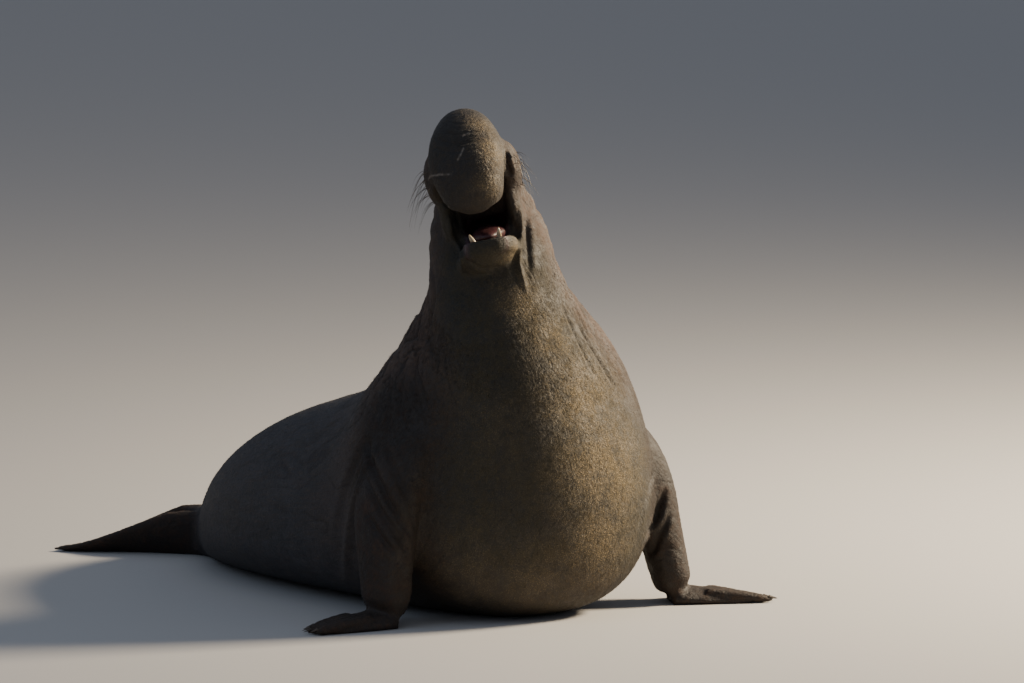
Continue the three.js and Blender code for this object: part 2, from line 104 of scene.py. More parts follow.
def makeCamera():
    back = directionOf(view["azimuth"], view["elevation"])
    turn = math.radians(view["azimuth"])
    right = Vector((math.cos(turn), math.sin(turn), 0))
    up = back.cross(right)
    width, height = view["imageSize"]
    scale = view["pixelsPerMetre"]
    aim = bodyShift.copy()
    aim.z = 0
    aim += right * ((width / 2 - view["originPixel"][0]) / scale)
    aim += up * ((view["originPixel"][1] - height / 2) / scale)
    data = bpy.data.cameras.new("camera")
    data.sensor_width = view["sensor"]
    data.lens = view["sensor"] * view["distance"] * scale / width
    data.clip_end = 200
    camera = bpy.data.objects.new("camera", data)
    bpy.context.scene.collection.objects.link(camera)
    camera.matrix_world = Matrix.Translation(aim + back * view["distance"]) @ Matrix(
        (right, up, back)
    ).transposed().to_4x4()
    bpy.context.scene.camera = camera
    return {"eye": aim + back * view["distance"], "right": right, "up": up, "back": back}


camera = makeCamera()


def pixelRay(x, y):
    width, height = view["imageSize"]
    reach = 1 / (view["distance"] * view["pixelsPerMetre"])
    ray = camera["right"] * ((x - width / 2) * reach) - camera["up"] * ((y - height / 2) * reach)
    return (ray - camera["back"]).normalized()


print("seal: camera set")


# Meshes as arrays of points
def listed(items, key, wide=1, kind=np.float32):
    # one property of every item, in that many columns
    flat = np.empty(len(items) * wide, kind)
    items.foreach_get(key, flat)
    return flat.reshape(-1, wide) if wide > 1 else flat


def pointsOf(mesh):
    return listed(mesh.vertices, "co", 3).astype(float)


def setPoints(mesh, points):
    mesh.vertices.foreach_set("co", points.astype(np.float32).ravel())
    mesh.update()


def normalsOf(mesh):
    return listed(mesh.vertex_normals, "vector", 3).astype(float)


def edgesOf(mesh):
    return listed(mesh.edges, "vertices", 2, np.int32)


def setValue(mesh, name, values):
    layer = mesh.attributes.get(name) or mesh.attributes.new(name, "FLOAT", "POINT")
    layer.data.foreach_set("value", np.asarray(values, np.float32))


def getValue(mesh, name):
    return listed(mesh.attributes[name].data, "value").astype(float)


def setVector(mesh, name, values):
    layer = mesh.attributes.get(name) or mesh.attributes.new(name, "FLOAT_VECTOR", "POINT")
    layer.data.foreach_set("vector", np.asarray(values, np.float32).ravel())


def neighbourMean(edges, values):
    count = len(values)
    total = np.zeros_like(values)
    degree = np.bincount(edges.ravel(), minlength=count)
    for axis in range(values.shape[1]):
        column = values[:, axis]
        total[:, axis] = np.bincount(edges[:, 0], column[edges[:, 1]], count)
        total[:, axis] += np.bincount(edges[:, 1], column[edges[:, 0]], count)
    return total / np.maximum(degree, 1)[:, None]


def softened(edges, values, rounds):
    shaped = values.reshape(len(values), -1)
    for _ in range(rounds):
        shaped = shaped * 0.5 + neighbourMean(edges, shaped) * 0.5
    return shaped.reshape(values.shape)


def smoothStep(low, high, values):
    share = np.clip((values - low) / (high - low), 0, 1)
    return share * share * (3 - 2 * share)


def unit(vectors):
    return vectors / np.maximum(np.linalg.norm(vectors, axis=-1, keepdims=True), 1e-9)


def cloudy(points, seed):
    # smooth noise between -1 and 1, from hashed values at the corners of unit cells
    base = np.floor(points).astype(np.int64)
    part = points - base
    part = part * part * (3 - 2 * part)
    total = np.zeros(len(points))
    for corner in itertools.product((0, 1), repeat=3):
        cell = base + corner
        mixed = cell[:, 0] * 73856093 ^ cell[:, 1] * 19349663 ^ cell[:, 2] * 83492791 ^ seed * 2654435761
        mixed = (mixed ^ (mixed >> 13)) * 1274126177 & 0xFFFFFFFF
        mixed = (mixed ^ (mixed >> 16)) & 0xFFFF
        weight = np.abs(1 - np.array(corner) - part).prod(1)
        total += (mixed / 32767.5 - 1) * weight
    return total


def newObject(label, mesh):
    piece = bpy.data.objects.new(label, mesh)
    bpy.context.scene.collection.objects.link(piece)
    return piece


def meshFrom(bm, name):
    mesh = bpy.data.meshes.new(name)
    bm.to_mesh(mesh)
    bm.free()
    return mesh


def shadeSmooth(mesh):
    mesh.polygons.foreach_set("use_smooth", np.ones(len(mesh.polygons), bool))
    mesh.update()


def closedCopy(name, grow=0.0):
    # the solid of a node as one welded surface, grown a little all over
    bm = bmesh.new()
    bm.from_mesh(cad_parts[name].data)
    bmesh.ops.remove_doubles(bm, verts=bm.verts, dist=1e-6)
    bm.normal_update()
    for vertex in bm.verts:
        vertex.co += vertex.normal * grow
    return meshFrom(bm, name + "_closed")


def evaluated(piece):
    depsgraph = bpy.context.evaluated_depsgraph_get()
    made = bpy.data.meshes.new_from_object(piece.evaluated_get(depsgraph))
    bpy.data.objects.remove(piece)
    return made


def remeshed(mesh, voxel):
    piece = newObject("rough", mesh)
    remesh = piece.modifiers.new("remesh", "REMESH")
    remesh.mode = "VOXEL"
    remesh.voxel_size = voxel
    return evaluated(piece)


def joined(names, grow):
    whole = newObject("whole", closedCopy(names[0], grow))
    others = [newObject("other", closedCopy(name, grow)) for name in names[1:]]
    for other in others:
        union = whole.modifiers.new("union", "BOOLEAN")
        union.operation = "UNION"
        union.solver = "MANIFOLD"
        union.object = other
    mesh = evaluated(whole)
    for other in others:
        bpy.data.objects.remove(other)
    return mesh


# The skin: one closed surface over all the flesh. sigma is how far the facets are worn away.
skin = {
    "voxel": 0.0074,
    "grow": 0.0006,
    "sigma": {
        "hindquarters": 0.042,
        "abdomen": 0.045,
        "chest": 0.045,
        "neck": 0.036,
        "head": 0.014,
        "lower_jaw": 0.010,
        "proboscis": 0.022,
        "tail": 0.010,
        "arm_left": 0.024,
        "arm_right": 0.024,
        "foreflipper_left": 0.008,
        "foreflipper_right": 0.008,
        "hind_flipper_left": 0.008,
        "hind_flipper_right": 0.008,
    },
    "blendRounds": 26,
    "fineNodes": [
        "head", "lower_jaw", "proboscis", "foreflipper_left", "foreflipper_right",
        "hind_flipper_left", "hind_flipper_right", "tail",
    ],
    "floorLevel": 0.004,
}
fleshNodes = list(skin["sigma"])


def regionsOf(points):
    # which flesh node each point lies nearest to
    corners = []
    faces = []
    owners = []
    for index, name in enumerate(fleshNodes):
        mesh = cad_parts[name].data
        start = len(corners)
        corners.extend(vertex.co for vertex in mesh.vertices)
        for polygon in mesh.polygons:
            faces.append([start + v for v in polygon.vertices])
            owners.append(index)
    tree = BVHTree.FromPolygons(corners, faces)
    nearest = [tree.find_nearest(point)[2] for point in points]
    return np.array(owners)[nearest]


def makeSkin():
    flesh = joined(fleshNodes + ["eye_left", "eye_right"], skin["grow"])
    mesh = remeshed(flesh, skin["voxel"])
    points = pointsOf(mesh)
    edges = edgesOf(mesh)
    regions = regionsOf(points)
    sigma = np.array([skin["sigma"][name] for name in fleshNodes])[regions]
    sigma = softened(edges, sigma, skin["blendRounds"])
    rounds = 4 * (sigma / skin["voxel"]) ** 2
    onFloor = points[:, 2] < skin["floorLevel"]
    for turn in range(int(rounds.max()) + 1):
        weight = 0.5 * np.clip(rounds - turn, 0, 1)
        weight[onFloor] = 0
        points += (neighbourMean(edges, points) - points) * weight[:, None]
    setPoints(mesh, points)
    for index, name in enumerate(fleshNodes):
        setValue(mesh, "near_" + name, softened(edges, (regions == index).astype(float), 14))
    return mesh


def near(mesh, *names):
    return sum(getValue(mesh, "near_" + name) for name in names)


def refine(mesh, chosenPoints):
    # halves the mesh size where the skin has fine forms
    fine = chosenPoints(mesh)
    bm = bmesh.new()
    bm.from_mesh(mesh)
    bm.verts.ensure_lookup_table()
    chosen = [edge for edge in bm.edges if fine[edge.verts[0].index] and fine[edge.verts[1].index]]
    bmesh.ops.subdivide_edges(bm, edges=chosen, cuts=1, use_grid_fill=True)
    bmesh.ops.triangulate(bm, faces=[face for face in bm.faces if len(face.verts) > 4])
    bm.to_mesh(mesh)
    bm.free()
    points = pointsOf(mesh)
    fine = chosenPoints(mesh) & (points[:, 2] > skin["floorLevel"])
    even = softened(edgesOf(mesh), points, 2)
    points[fine] = even[fine]
    setPoints(mesh, points)


skinMesh = makeSkin()
print("seal: skin smoothed,", len(skinMesh.vertices), "points")
refine(skinMesh, lambda mesh: near(mesh, *skin["fineNodes"]) > 0.5)
print("seal: skin refined,", len(skinMesh.vertices), "points")

# Eyes: where they look, and the almond between the lids
eyes = {
    "radius": 0.030,
    "outward": (0.9, -0.35, 0.25),
    "halfWide": 0.0255,
    "halfHigh": 0.0185,
    "lid": 0.0035,
    "rim": 0.0040,
    "brow": 0.024,
    "browWide": 0.044,
    "browRidge": 0.006,
    "fold": 0.0030,
    "slant": 0.12,
    "almond": 1.6,
    "sink": 0.007,
    "reach": 0.075,
    "iris": (0.016, 0.008, 0.005),
    "white": (0.030, 0.014, 0.011),
}


def eyeFrame(side):
    # the middle of an eye, and the directions out of it, forwards along the lids, and up
    sign = 1 if side == "left" else -1
    out = (headRotation @ Vector((sign * eyes["outward"][0], *eyes["outward"][1:]))).normalized()
    ahead = headRotation @ Vector((0, -1, 0.25))
    ahead = (ahead - out * ahead.dot(out)).normalized()
    up = out.cross(ahead) * sign
    if up.dot(headRotation @ Vector((0, 0, 1))) < 0:
        up = -up
    return [np.array(one) for one in (nodeMiddle("eye_" + side), out, ahead, up)]


def openLids(mesh):
    points = pointsOf(mesh)
    radius = eyes["radius"]
    for side in ("left", "right"):
        middle, out, ahead, up = eyeFrame(side)
        local = points - middle
        lengthwise, high, depth = local @ ahead, local @ up, local @ out
        radial = np.hypot(lengthwise, high)
        chosen = (depth > -0.02) & (radial < eyes["reach"])
        slant = high - eyes["slant"] * lengthwise
        opening = np.abs(lengthwise / eyes["halfWide"]) ** eyes["almond"]
        opening += np.abs(slant / eyes["halfHigh"]) ** eyes["almond"]
        ball = np.sqrt(np.maximum(radius**2 - radial**2, 0))
        cover = np.sqrt(np.maximum((radius + eyes["lid"]) ** 2 - radial**2, 0))
        cover += eyes["rim"] * np.exp(-(((opening - 1.5) / 0.7) ** 2))
        brow = eyes["brow"] * np.exp(-((radial / eyes["browWide"]) ** 2))
        ridge = eyes["browRidge"] * np.exp(-(((high - 0.040) / 0.013) ** 2) - (lengthwise / 0.035) ** 2)
        fold = np.exp(-(((np.hypot(lengthwise * 0.8, high + 0.006) - 0.036) / 0.004) ** 2))
        fold *= smoothStep(0.004, 0.016, high) + 0.5 * smoothStep(-0.008, -0.020, high)
        closed = np.maximum(depth, np.maximum(cover, brow)) + ridge - eyes["fold"] * fold
        share = smoothStep(0.82, 1.12, opening)
        target = (ball - eyes["sink"]) * (1 - share) + closed * share
        fade = smoothStep(eyes["reach"], eyes["reach"] * 0.6, radial) * chosen
        points += out * ((target - depth) * fade)[:, None]
    setPoints(mesh, points)


def eyeDistance(points):
    distances = [np.linalg.norm(points - eyeFrame(side)[0], axis=1) for side in ("left", "right")]
    return np.minimum(*distances)


refine(skinMesh, lambda mesh: eyeDistance(pointsOf(mesh)) < 0.065)
openLids(skinMesh)
print("seal: lids opened")

# The line that the body follows, from the ankles to the snout, with its turn about +Z
spine = [
    (-0.06, 2.12, 0.09, 20),
    (0, 1.95, 0.14, 6),
    (0, 1.60, 0.27, 0),
    (0, 1.33, 0.33, 0),
    (0, 1.02, 0.38, 0),
    (0, 0.70, 0.42, 0),
    (0, 0.42, 0.47, -2),
    (0, 0.20, 0.55, -5),
    (0, 0.06, 0.70, -9),
    (-0.01, 0.00, 0.92, -15),
    (-0.04, 0.00, 1.12, -24),
    (-0.08, 0.05, 1.30, -33),
    (-0.12, 0.10, 1.46, -38),
    (-0.16, 0.12, 1.62, -41),
    (-0.24, 0.02, 1.78, -41),
]


def lieOf(points):
    # how far along the spine each point is, how far round it from the back, its distance, its heading
    line = np.array([onBody(*place[:3]) for place in spine])
    turns = np.radians([place[3] for place in spine])
    sides = np.stack([np.cos(turns), np.sin(turns), np.zeros(len(turns))], 1)
    steps = unit(np.diff(line, axis=0))
    tangents = unit(np.vstack([steps[:1], steps[:-1] + steps[1:], steps[-1:]]))
    best = np.full(len(points), np.inf)
    along = np.zeros(len(points))
    foot = np.zeros_like(points)
    heading = np.zeros_like(points)
    side = np.zeros_like(points)
    start = 0
    for i, (a, b) in enumerate(zip(line[:-1], line[1:])):
        step = b - a
        length = np.linalg.norm(step)
        share = np.clip((points - a) @ step / length**2, 0, 1)
        spot = a + share[:, None] * step
        distance = np.linalg.norm(points - spot, axis=1)
        closer = distance < best
        mixed = share[closer, None]
        best[closer] = distance[closer]
        along[closer] = start + share[closer] * length
        foot[closer] = spot[closer]
        heading[closer] = tangents[i] * (1 - mixed) + tangents[i + 1] * mixed
        side[closer] = sides[i] * (1 - mixed) + sides[i + 1] * mixed
        start += length
    heading = unit(heading)
    side = unit(side - heading * (side * heading).sum(1)[:, None])
    over = np.cross(heading, side)
    over *= np.sign(over @ np.array([0, 0.6, 0.8]))[:, None]
    out = points - foot
    angle = np.arctan2((out * side).sum(1), (out * over).sum(1))
    return along, angle, best, heading


print("seal: spine laid")

# Folds and creases, each a line over the skin: its width, its depth, and where the photograph shows it,
# in pixels. The folds of the nape cross it at heights of their own.
folds = {
    "armpitLeftImage": [
        (0.016, 0.016, [(366, 436), (372, 466), (388, 500), (410, 538)]),
        (0.014, 0.014, [(364, 468), (376, 500), (394, 530), (410, 556)]),
        (0.014, 0.010, [(384, 440), (394, 470), (412, 506)]),
        (0.012, 0.010, [(362, 505), (376, 530), (396, 556)]),
    ],
    "armpitRightImage": [
        (0.016, 0.016, [(668, 486), (658, 510), (645, 540), (640, 566)]),
        (0.013, 0.012, [(672, 512), (660, 535), (648, 560)]),
        (0.014, 0.010, [(654, 470), (646, 500), (638, 530)]),
    ],
    "flank": [
        (0.02, -0.010, [(388, 430), (366, 465), (354, 500), (347, 545), (345, 588)]),
        (0.02, 0.009, [(378, 425), (356, 462), (343, 500), (336, 545)]),
    ],
    "neck": [
        (0.012, 0.006, [(556, 262), (574, 305), (592, 345)]),
        (0.012, 0.007, [(574, 318), (596, 356), (618, 392)]),
        (0.010, 0.005, [(560, 300), (578, 342), (600, 385)]),
        (0.012, 0.006, [(432, 262), (434, 300), (426, 340)]),
        (0.012, 0.006, [(420, 345), (414, 385), (424, 430)]),
        (0.012, 0.006, [(404, 372), (400, 405), (408, 440)]),
    ],
    "throat": [
        (0.011, -0.009, [(519, 200), (521, 230), (519, 262), (528, 296)]),
        (0.012, 0.007, [(526, 214), (528, 244), (530, 276)]),
        (0.010, -0.007, [(449, 214), (452, 236), (461, 252), (462, 276)]),
        (0.010, 0.005, [(464, 258), (482, 268), (505, 266)]),
    ],
    "trunk": [
        (0.006, 0.0026, [(433, 127), (452, 134), (480, 131)]),
        (0.006, 0.0026, [(431, 137), (455, 144), (484, 139)]),
        (0.006, 0.0022, [(430, 147), (452, 152), (478, 149)]),
        (0.005, 0.0020, [(440, 119), (458, 124), (474, 122)]),
        (0.005, 0.0016, [(448, 158), (462, 161), (478, 158)]),
    ],
    "pad": [
        (0.010, 0.014, [(507, 150), (508, 164), (512, 178)]),
        (0.008, 0.006, [(434, 186), (440, 198), (448, 207)]),
    ],
}
napeFolds = {"heights": [1.12, 1.23, 1.33, 1.42, 1.52, 1.60], "wide": 0.020, "deep": 0.011}


def skinTree(mesh):
    loops = listed(mesh.loops, "vertex_index", kind=np.int32)
    starts = listed(mesh.polygons, "loop_start", kind=np.int32)
    faces = [part.tolist() for part in np.split(loops, starts[1:])]
    return BVHTree.FromPolygons(pointsOf(mesh).tolist(), faces)


def onSkin(tree, x, y):
    return tree.ray_cast(camera["eye"], pixelRay(x, y))[0]


def traced(tree, pixels, steps=12):
    # a smooth line through the pixels, laid on the skin
    knots = np.array(pixels, float)
    line = []
    for time in np.linspace(0, len(knots) - 1, steps * (len(knots) - 1) + 1):
        i = min(int(time), len(knots) - 2)
        t = time - i
        before = knots[max(i - 1, 0)]
        after = knots[min(i + 2, len(knots) - 1)]
        a, b = knots[i], knots[i + 1]
        cubic = 0.5 * (
            2 * a + (b - before) * t + (2 * before - 5 * a + 4 * b - after) * t**2
            + (3 * a - before - 3 * b + after) * t**3
        )
        hit = onSkin(tree, *cubic)
        if hit:
            line.append(hit)
    return np.array(line)


def lineDistance(points, line, reach):
    # the points near a line, how far each is from it, and its share of the way along
    low = line.min(0) - reach
    high = line.max(0) + reach
    chosen = np.where(((points > low) & (points < high)).all(1))[0]
    best = np.full(len(chosen), np.inf)
    share = np.zeros(len(chosen))
    for i, (a, b) in enumerate(zip(line[:-1], line[1:])):
        step = b - a
        part = np.clip((points[chosen] - a) @ step / max(step @ step, 1e-12), 0, 1)
        distance = np.linalg.norm(points[chosen] - (a + part[:, None] * step), axis=1)
        closer = distance < best
        best[closer] = distance[closer]
        share[closer] = (i + part[closer]) / (len(line) - 1)
    return chosen, best, share


def crease(points, normals, line, wide, deep):
    # a groove along the line with a low swelling on both sides; a negative depth makes a ridge
    if len(line) < 2:
        return
    chosen, distance, share = lineDistance(points, line, wide * 4)
    fade = smoothStep(0, 0.25, share) * smoothStep(0, 0.25, 1 - share)
    across = distance / wide
    profile = np.exp(-(across**2)) - 0.35 * np.exp(-((across - 2) ** 2))
    points[chosen] -= normals[chosen] * (deep * fade * profile)[:, None]


def foldSkin(mesh):
    tree = skinTree(mesh)
    points = pointsOf(mesh)
    normals = normalsOf(mesh)
    for group in folds.values():
        for wide, deep, pixels in group:
            crease(points, normals, traced(tree, pixels), wide, deep)
    along, angle, _, _ = lieOf(points)
    wander = 0.02 * cloudy(points * 5, 3)
    back = smoothStep(-0.1, 0.55, np.cos(angle)) * smoothStep(0.6, 0.3, near(mesh, "proboscis"))
    for index, height in enumerate(napeFolds["heights"]):
        crossing = np.array([onBody(-0.05, 0.34, height)])
        level = lieOf(crossing)[0][0]
        broken = 0.65 + 0.35 * cloudy(points * 3, 20 + index)
        profile = np.exp(-(((along - level + wander) / napeFolds["wide"]) ** 2))
        points -= normals * (napeFolds["deep"] * back * broken * profile)[:, None]
    setPoints(mesh, points)


foldSkin(skinMesh)
print("seal: folds pressed in")

# Wrinkles: creases where slow noise crosses zero. On the body they are drawn out along the spine, and
# deep and front follow the spine's length. front is what is left where the hide is stretched in front.
bodyWrinkles = {
    "spine": [0.0, 0.6, 1.2, 1.8, 2.3, 2.6, 2.9, 3.1, 3.3],
    "deep": [0.0012, 0.0018, 0.0018, 0.0030, 0.0054, 0.0080, 0.0076, 0.0040, 0.0],
    "front": [0.5, 0.5, 0.5, 0.3, 0.10, 0.10, 0.25, 0.5, 0.5],
    "across": 13,
    "along": 2.7,
}
wrinkles = {
    "head": {"nodes": ["head", "lower_jaw"], "size": (15, 15, 15), "deep": 0.0022},
    "trunk": {"nodes": ["proboscis"], "size": (24, 24, 24), "deep": 0.0010},
    "arms": {"nodes": ["arm_left", "arm_right"], "size": (13, 13, 13), "deep": 0.0034},
    "hands": {"nodes": ["foreflipper_left", "foreflipper_right"], "size": (26, 26, 26), "deep": 0.0012},
    "feet": {"nodes": ["hind_flipper_left", "hind_flipper_right"], "size": (22, 22, 22), "deep": 0.0014},
}


grooves = {"wide": 0.13, "fine": 0.16, "fineShare": 0.4, "between": 0.35}


def grooved(place, seed):
    # from about -1.4 in a groove to a little over 0 between grooves
    wide = cloudy(place, 40 + seed) + 0.45 * cloudy(place * 2.1, 60 + seed)
    fine = cloudy(place * 3.3, 80 + seed)
    deep = np.exp(-((wide / grooves["wide"]) ** 2))
    deep += grooves["fineShare"] * np.exp(-((fine / grooves["fine"]) ** 2))
    return grooves["between"] * np.abs(wide) - deep


def wrinkleSkin(mesh):
    points = pointsOf(mesh)
    normals = normalsOf(mesh)
    edges = edgesOf(mesh)
    along, angle, radius, _ = lieOf(points)
    along = softened(edges, along, 80)
    girth = softened(edges, np.clip(radius, 0.05, 0.6), 80)
    bend = 0.05 * np.stack([cloudy(points * 6, seed) for seed in (1, 2, 4)], 1)
    front = smoothStep(-0.15, -0.7, np.cos(angle))
    lie = np.stack([np.sin(angle) * girth, np.cos(angle) * girth, along], 1)
    free = smoothStep(0.008, 0.03, points[:, 2]) * (1 - smoothStep(0.065, 0.045, eyeDistance(points)))
    one = bodyWrinkles
    deep = np.interp(along, one["spine"], one["deep"])
    left = 1 - (1 - np.interp(along, one["spine"], one["front"])) * front
    body = grooved((lie + bend) * (one["across"], one["across"], one["along"]), 0)
    others = np.zeros(len(points))
    depth = np.zeros(len(points))
    for index, one in enumerate(wrinkles.values(), start=1):
        share = softened(edges, np.clip(near(mesh, *one["nodes"]), 0, 1), 60)
        others += share
        chosen = share > 0.02
        place = (points[chosen] + bend[chosen] * 0.6) * one["size"]
        depth[chosen] += share[chosen] * one["deep"] * grooved(place, index)
    depth += np.clip(1 - others, 0, 1) * deep * left * body
    depth *= free * (0.6 + 0.4 * cloudy(points * 2.3, 7))
    setPoints(mesh, points + normals * depth[:, None])
    setVector(mesh, "lie", lie)
    # painted shade: the grooves of the wrinkles, kept here to be darkened in the hide's colour
    setValue(mesh, "paintedCreaseShade", smoothStep(0.0005, -0.004, depth))


wrinkleSkin(skinMesh)
print("seal: wrinkles raised")

# Where the mouth's lining is, from the shape of the open mouth in the head's frame
mouth = {
    "forward": [0.02, 0.09, 0.17, 0.26, 0.40],
    "up": [0.125, 0.175, 0.235, 0.30, 0.40],
    "half": [0.042, 0.082, 0.102, 0.106, 0.112],
    "gape": [0.022, 0.052, 0.088, 0.132, 0.20],
    "aside": 0.008,
    "square": (0.57, 0.82),
    "floorUp": (0.06, 0.118),
    "floorHalf": (0.096, 0.082),
    "floorAhead": 0.375,
}


def mouthShare(points):
    local = toHead(points)
    start = np.array([-mouth["forward"][0], mouth["up"][0]])
    end = np.array([-mouth["forward"][-1], mouth["up"][-1]])
    reach = np.linalg.norm(end - start)
    flat = local[:, 1:] - start
    travel = flat @ ((end - start) / reach)
    height = flat @ np.array(mouth["square"])
    knots = np.linspace(0, reach, len(mouth["half"]))
    half = np.interp(travel, knots, mouth["half"])
    gape = np.interp(travel, knots, mouth["gape"])
    aside = np.abs(local[:, 0] - mouth["aside"])
    inside = (aside / half) ** 2.6 + np.abs(height / gape) ** 2.7
    share = smoothStep(1.45, 1.12, inside) * (travel > -0.02) * (travel < reach)
    floor = smoothStep(*mouth["floorUp"], local[:, 2]) * smoothStep(*mouth["floorHalf"], aside)
    floor *= smoothStep(0, 0.02, mouth["floorAhead"] + local[:, 1])
    return np.maximum(share, floor * (local[:, 2] < 0.2))


# Sand lies in patches where the seal has lain or flung it. Each has a pixel of the photograph, its size
# and how thick it lies.
sandPatches = [
    ((584, 400), 0.20, 0.9),
    ((604, 470), 0.24, 1.0),
    ((552, 340), 0.13, 0.7),
    ((600, 540), 0.20, 0.8),
    ((540, 575), 0.20, 0.35),
    ((470, 570), 0.24, 0.25),
    ((500, 420), 0.26, 0.20),
    ((520, 300), 0.10, 0.7),
    ((492, 150), 0.07, 0.9),
    ((488, 185), 0.06, 0.8),
    ((478, 125), 0.06, 0.7),
    ((512, 252), 0.06, 0.8),
]
scars = [
    [(428, 181), (432, 176), (453, 174)],
    [(457, 161), (461, 154), (464, 147)],
    [(462, 137), (466, 134), (470, 133)],
]

# Where each marking starts and ends along the spine, and how far the arms' dark hide, with painted shade
# in the armpits, reaches round each arm
markings = {
    "rear": (2.35, 1.45),
    "shield": (2.05, 2.65),
    "front": (1.75, 2.15),
    "frontRound": (0.05, -0.65),
    "face": (2.95, 3.15),
    "armReach": (0.34, 0.14),
    # how far the painted shade round the eyes reaches
    "eyeShadeReach": (0.060, 0.030),
    "wander": 0.16,
}
armLines = {
    "left": [(0.42, 0.02, 0.72), (0.58, -0.14, 0.20), (0.95, -0.35, 0.02)],
    "right": [(-0.40, 0.15, 0.72), (-0.62, 0.05, 0.20), (-0.99, 0.05, 0.02)],
}


def markSkin(mesh):
    points = pointsOf(mesh)
    edges = edgesOf(mesh)
    tree = skinTree(mesh)
    along, angle, _, _ = lieOf(points)
    placed = along + markings["wander"] * (cloudy(points * 2.6, 9) + 0.5 * cloudy(points * 6, 10))
    headShare = smoothStep(0.3, 0.7, near(mesh, "head", "lower_jaw"))
    setValue(mesh, "mouth", mouthShare(points) * headShare)
    fins = [name for name in fleshNodes if "flipper" in name or name == "tail"]
    setValue(mesh, "trunk", softened(edges, near(mesh, "proboscis"), 60))
    towardsBack = np.cos(angle) + 0.15 * cloudy(points * 3.5, 12)
    wide = {
        "fin": np.clip(near(mesh, *fins), 0, 1),
        "front": smoothStep(*markings["frontRound"], towardsBack) * smoothStep(*markings["front"], placed),
        "shield": smoothStep(*markings["shield"], placed),
        "rear": smoothStep(*markings["rear"], placed),
        "face": smoothStep(*markings["face"], placed),
    }
    for name, values in zip(wide, softened(edges, np.stack(list(wide.values()), 1), 140).T):
        setValue(mesh, name, values)
    # painted shade: the skin in and round the eye sockets, darkened in the hide's colour
    setValue(mesh, "lid", smoothStep(*markings["eyeShadeReach"], eyeDistance(points)))
    # the arms' own dark hide, spread out over the armpits and the chest's sides as painted shade
    arm = np.zeros(len(points))
    for line in armLines.values():
        knots = np.array([onBody(*knot) for knot in line])
        chosen, distance, _ = lineDistance(points, knots, markings["armReach"][0])
        distance += 0.05 * cloudy(points[chosen] * 5, 14)
        arm[chosen] = np.maximum(arm[chosen], smoothStep(*markings["armReach"], distance))
    setValue(mesh, "arm", arm)
    sand = np.zeros(len(points))
    for pixel, size, much in sandPatches:
        spot = onSkin(tree, *pixel)
        if spot:
            distance = np.linalg.norm(points - np.array(spot), axis=1)
            sand = np.maximum(sand, much * np.exp(-((distance / size) ** 2)))
    setValue(mesh, "sand", sand)
    scar = np.zeros(len(points))
    for pixels in scars:
        line = traced(tree, pixels)
        if len(line) > 1:
            chosen, distance, share = lineDistance(points, line, 0.02)
            fade = smoothStep(0, 0.15, share) * smoothStep(0, 0.15, 1 - share)
            scar[chosen] = np.maximum(scar[chosen], fade * np.exp(-((distance / 0.0030) ** 2)))
    setValue(mesh, "scar", scar)


markSkin(skinMesh)
print("seal: markings set")


# Materials
class Nodes:
    def __init__(self, name):
        self.material = bpy.data.materials.new(name)
        self.material.use_nodes = True
        self.tree = self.material.node_tree
        self.shader = self.tree.nodes["Principled BSDF"]

    def add(self, kind, **settings):
        node = self.tree.nodes.new(kind)
        for key, value in settings.items():
            if key in node.inputs:
                node.inputs[key].default_value = value
            else:
                setattr(node, key, value)
        return node

    def link(self, source, target):
        self.tree.links.new(source, target)

    def value(self, name):
        return self.add("ShaderNodeAttribute", attribute_name=name).outputs["Fac"]

    def spread(self, value, low, high, toLow=0.0, toHigh=1.0):
        node = self.add("ShaderNodeMapRange")
        node.interpolation_type = "SMOOTHSTEP"
        for slot, number in enumerate((low, high, toLow, toHigh), start=1):
            node.inputs[slot].default_value = number
        self.link(value, node.inputs[0])
        return node.outputs[0]

    def math(self, operation, a, b):
        node = self.add("ShaderNodeMath", operation=operation)
        for slot, value in enumerate((a, b)):
            if isinstance(value, (int, float)):
                node.inputs[slot].default_value = value
            else:
                self.link(value, node.inputs[slot])
        return node.outputs[0]

    def mix(self, share, a, b):
        node = self.add("ShaderNodeMix", data_type="RGBA")
        for socket, value in ((node.inputs[0], share), (node.inputs[6], a), (node.inputs[7], b)):
            if isinstance(value, (int, float)):
                socket.default_value = value
            elif isinstance(value, (tuple, list)):
                socket.default_value = (*value, 1)
            else:
                self.link(value, socket)
        return node.outputs[2]

    def scaled(self, colour, factor):
        node = self.add("ShaderNodeVectorMath", operation="SCALE")
        self.link(colour, node.inputs[0])
        self.link(factor, node.inputs["Scale"])
        return node.outputs[0]

    def stretched(self, source, scale):
        node = self.add("ShaderNodeMapping")
        node.inputs["Scale"].default_value = scale
        self.link(source, node.inputs["Vector"])
        return node.outputs[0]

    def noise(self, source, scale, detail=4, roughness=0.55):
        node = self.add("ShaderNodeTexNoise", Scale=scale, Detail=detail, Roughness=roughness)
        self.link(source, node.inputs["Vector"])
        return node.outputs["Fac"]

    def cells(self, source, scale, feature="F1"):
        node = self.add("ShaderNodeTexVoronoi", feature=feature, Scale=scale)
        self.link(source, node.inputs["Vector"])
        return node.outputs["Distance"]

    def bump(self, height, distance, before=None, strength=1.0):
        node = self.add("ShaderNodeBump", Strength=strength, Distance=distance)
        self.link(height, node.inputs["Height"])
        if before is not None:
            self.link(before, node.inputs["Normal"])
        return node.outputs[0]


